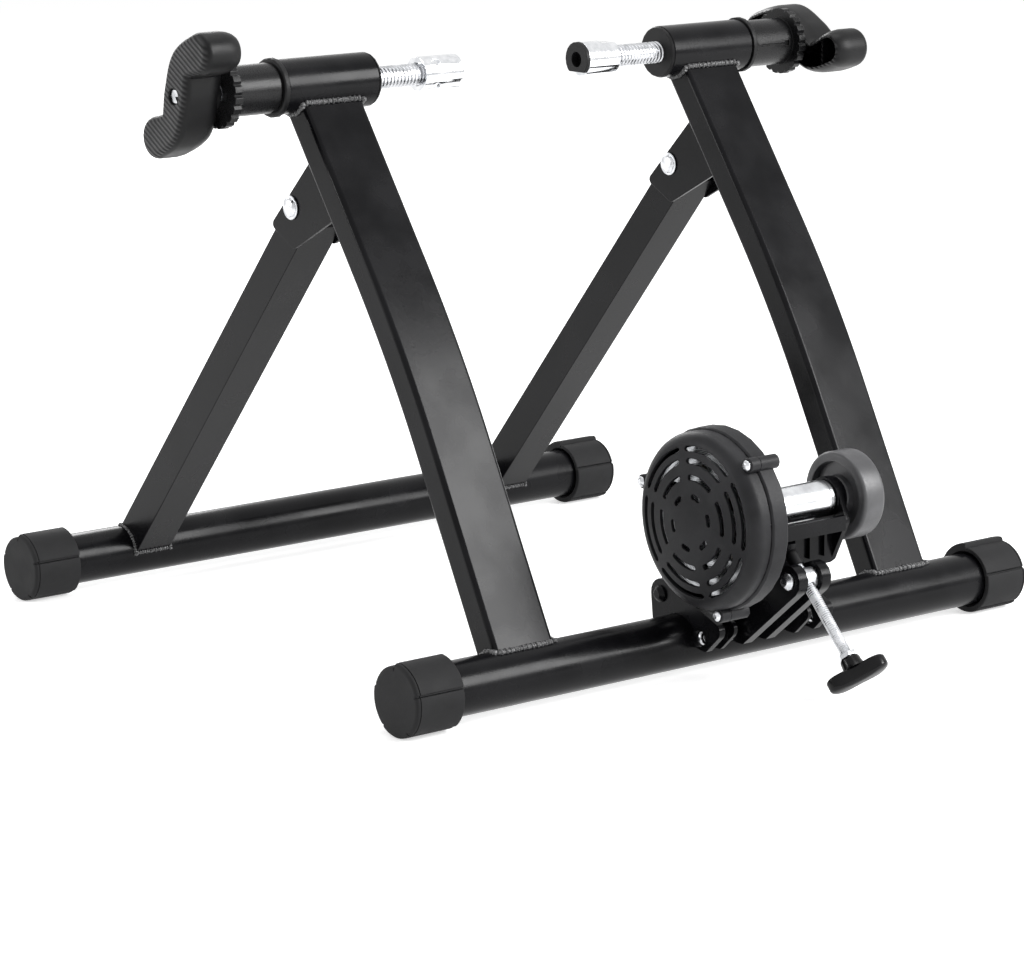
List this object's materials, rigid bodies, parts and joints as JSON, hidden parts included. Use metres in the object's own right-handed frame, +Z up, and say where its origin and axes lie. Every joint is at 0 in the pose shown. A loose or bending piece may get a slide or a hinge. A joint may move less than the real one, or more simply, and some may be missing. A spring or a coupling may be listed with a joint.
{
  "type": "turbo trainer",
  "caption": "Folding stand that clamps a bicycle's rear axle between screwed cups, with a magnetic brake roller that a screw tilts against the tyre.",
  "frame": {"origin": "on the floor, under the middle of the whole stand", "axes": "+X along the foot tubes to the flywheel side, +Y from the rear foot to the front foot, +Z up"},
  "size_m": [0.588, 0.6438, 0.4451],
  "materials": {
    "black_paint": "satin black powder paint",
    "foot_rubber": "matte black rubber",
    "black_plastic": "matte black moulded plastic",
    "bright_zinc": "bright zinc plate",
    "polished_steel": "polished steel",
    "grey_paint": "dark grey paint",
    "bare_aluminium": "turned bare aluminium",
    "magnet_nickel": "nickel plate"
  },
  "bodies": {
    "frame": {"rear_foot_tube": "black_paint", "left_upright": "black_paint", "right_upright": "black_paint", "left_clamp_barrel": "black_paint", "right_clamp_barrel": "black_paint", "left_fork_bracket": "black_paint", "right_fork_bracket": "black_paint", "left_clamp_nut": "bright_zinc", "right_clamp_nut": "bright_zinc", "left_end_bush": "black_plastic", "right_end_bush": "black_plastic", "left_hinge_bolt": "bright_zinc", "right_hinge_bolt": "bright_zinc", "left_hinge_nut": "bright_zinc", "right_hinge_nut": "bright_zinc", "base_block": "black_paint", "tilt_bolt": "bright_zinc", "tilt_nut": "bright_zinc", "left_swivel_pin": "bright_zinc", "right_swivel_pin": "bright_zinc"},
    "front_legs": {"front_foot_tube": "black_paint", "left_front_leg": "black_paint", "right_front_leg": "black_paint"},
    "rear_left_cap": {"rear_left_foot_cap": "foot_rubber"},
    "rear_right_cap": {"rear_right_foot_cap": "foot_rubber"},
    "front_left_cap": {"front_left_foot_cap": "foot_rubber"},
    "front_right_cap": {"front_right_foot_cap": "foot_rubber"},
    "left_cup": {"left_axle_cup": "polished_steel"},
    "left_screw_and_handle": {"left_spindle": "bright_zinc", "left_handle": "black_plastic", "left_handle_bolt": "bright_zinc"},
    "right_cup": {"right_axle_cup": "polished_steel", "right_cup_insert": "black_plastic"},
    "right_screw_and_handle": {"right_spindle": "bright_zinc", "right_handle": "black_plastic", "right_handle_bolt": "bright_zinc"},
    "left_lock_washer": {"left_lock_ring": "black_plastic"},
    "left_lock_grip": {"left_lock_sleeve": "black_plastic"},
    "right_lock_washer": {"right_lock_ring": "black_plastic"},
    "right_lock_grip": {"right_lock_sleeve": "black_plastic"},
    "tilting_unit": {"roller_bracket": "black_paint", "tilt_sleeve": "bright_zinc", "left_bearing": "bright_zinc", "right_bearing": "bright_zinc", "housing_front": "black_plastic", "housing_back": "black_plastic", "housing_screw_1": "bright_zinc", "housing_screw_2": "bright_zinc", "housing_screw_3": "bright_zinc", "magnet_plate": "magnet_nickel"},
    "spinning_group": {"roller": "polished_steel", "roller_shaft": "bright_zinc", "flywheel": "grey_paint", "flywheel_nut": "bright_zinc", "brake_rotor": "bare_aluminium"},
    "swivel": {"swivel_nut": "bright_zinc"},
    "screw_tip": {"tip_cap": "black_plastic"},
    "screw_and_knob": {"tension_screw": "bright_zinc", "tension_knob": "black_plastic"}
  },
  "joints": [
    {"name": "front_fold", "type": "hinge", "parent": "frame", "child": "front_legs", "pos_m": [-0.0015, 0.05626, 0.31447], "axis": [-1, 0, 0], "range_deg": [0, 70]},
    {"name": "rear_left_cap_turn", "type": "hinge", "parent": "frame", "child": "rear_left_cap", "pos_m": [-0.2615, -0.1777, 0.0249], "axis": [1, 0, 0], "continuous": true},
    {"name": "rear_right_cap_turn", "type": "hinge", "parent": "frame", "child": "rear_right_cap", "pos_m": [0.2585, -0.1777, 0.0249], "axis": [1, 0, 0], "continuous": true},
    {"name": "front_left_cap_turn", "type": "hinge", "parent": "front_legs", "child": "front_left_cap", "pos_m": [-0.2615, 0.2963, 0.0249], "axis": [1, 0, 0], "continuous": true},
    {"name": "front_right_cap_turn", "type": "hinge", "parent": "front_legs", "child": "front_right_cap", "pos_m": [0.2585, 0.2963, 0.0249], "axis": [1, 0, 0], "continuous": true},
    {"name": "left_cup_slide", "type": "slide", "parent": "frame", "child": "left_cup", "axis": [-1, 0, 0], "range_m": [0, 0.03]},
    {"name": "left_handle_turn", "type": "hinge", "parent": "left_cup", "child": "left_screw_and_handle", "pos_m": [-0.2015, 0.0453, 0.4004], "axis": [-1, 0, 0], "range_deg": [0, 3600]},
    {"name": "left_lock_slide", "type": "slide", "parent": "frame", "child": "left_lock_washer", "axis": [-1, 0, 0], "range_m": [0, 0.003]},
    {"name": "left_lock_turn", "type": "hinge", "parent": "left_lock_washer", "child": "left_lock_grip", "pos_m": [-0.2315, 0.0453, 0.4004], "axis": [-1, 0, 0], "range_deg": [0, 360]},
    {"name": "right_cup_slide", "type": "slide", "parent": "frame", "child": "right_cup", "axis": [1, 0, 0], "range_m": [0, 0.03]},
    {"name": "right_handle_turn", "type": "hinge", "parent": "right_cup", "child": "right_screw_and_handle", "pos_m": [0.1985, 0.0453, 0.4004], "axis": [1, 0, 0], "range_deg": [0, 3600]},
    {"name": "right_lock_slide", "type": "slide", "parent": "frame", "child": "right_lock_washer", "axis": [1, 0, 0], "range_m": [0, 0.003]},
    {"name": "right_lock_turn", "type": "hinge", "parent": "right_lock_washer", "child": "right_lock_grip", "pos_m": [0.2285, 0.0453, 0.4004], "axis": [1, 0, 0], "range_deg": [0, 360]},
    {"name": "unit_tilt", "type": "hinge", "parent": "frame", "child": "tilting_unit", "pos_m": [-0.0015, -0.1597, 0.0549], "axis": [-1, 0, 0], "range_deg": [0, 30]},
    {"name": "roller_spin", "type": "hinge", "parent": "tilting_unit", "child": "spinning_group", "pos_m": [-0.0015, -0.2227, 0.12], "axis": [1, 0, 0], "continuous": true},
    {"name": "swivel_swing", "type": "hinge", "parent": "frame", "child": "swivel", "pos_m": [0.01, -0.2537, 0.076], "axis": [-1, 0, 0], "range_deg": [0, 4]},
    {"name": "screw_feed", "type": "slide", "parent": "swivel", "child": "screw_tip", "axis": [0, 0.6884, 0.7254], "range_m": [0, 0.03337]},
    {"name": "knob_turn", "type": "hinge", "parent": "screw_tip", "child": "screw_and_knob", "pos_m": [0.01, -0.2537, 0.076], "axis": [0, 0.6884, 0.7254], "range_deg": [0, 8010]}
  ],
  "couplings": [
    {"joint": "left_handle_turn", "follows": "left_cup_slide", "rad_per_m": 2094.4},
    {"joint": "left_lock_slide", "follows": "left_lock_turn", "m_per_rad": 0.00047746},
    {"joint": "right_handle_turn", "follows": "right_cup_slide", "rad_per_m": 2094.4},
    {"joint": "right_lock_slide", "follows": "right_lock_turn", "m_per_rad": 0.00047746},
    {"joint": "knob_turn", "follows": "screw_feed", "rad_per_m": 4188.8},
    {"joint": "swivel_swing", "follows": "screw_feed", "rad_per_m": 2.0918},
    {"joint": "unit_tilt", "follows": "screw_feed", "rad_per_m": 15.688}
  ]
}
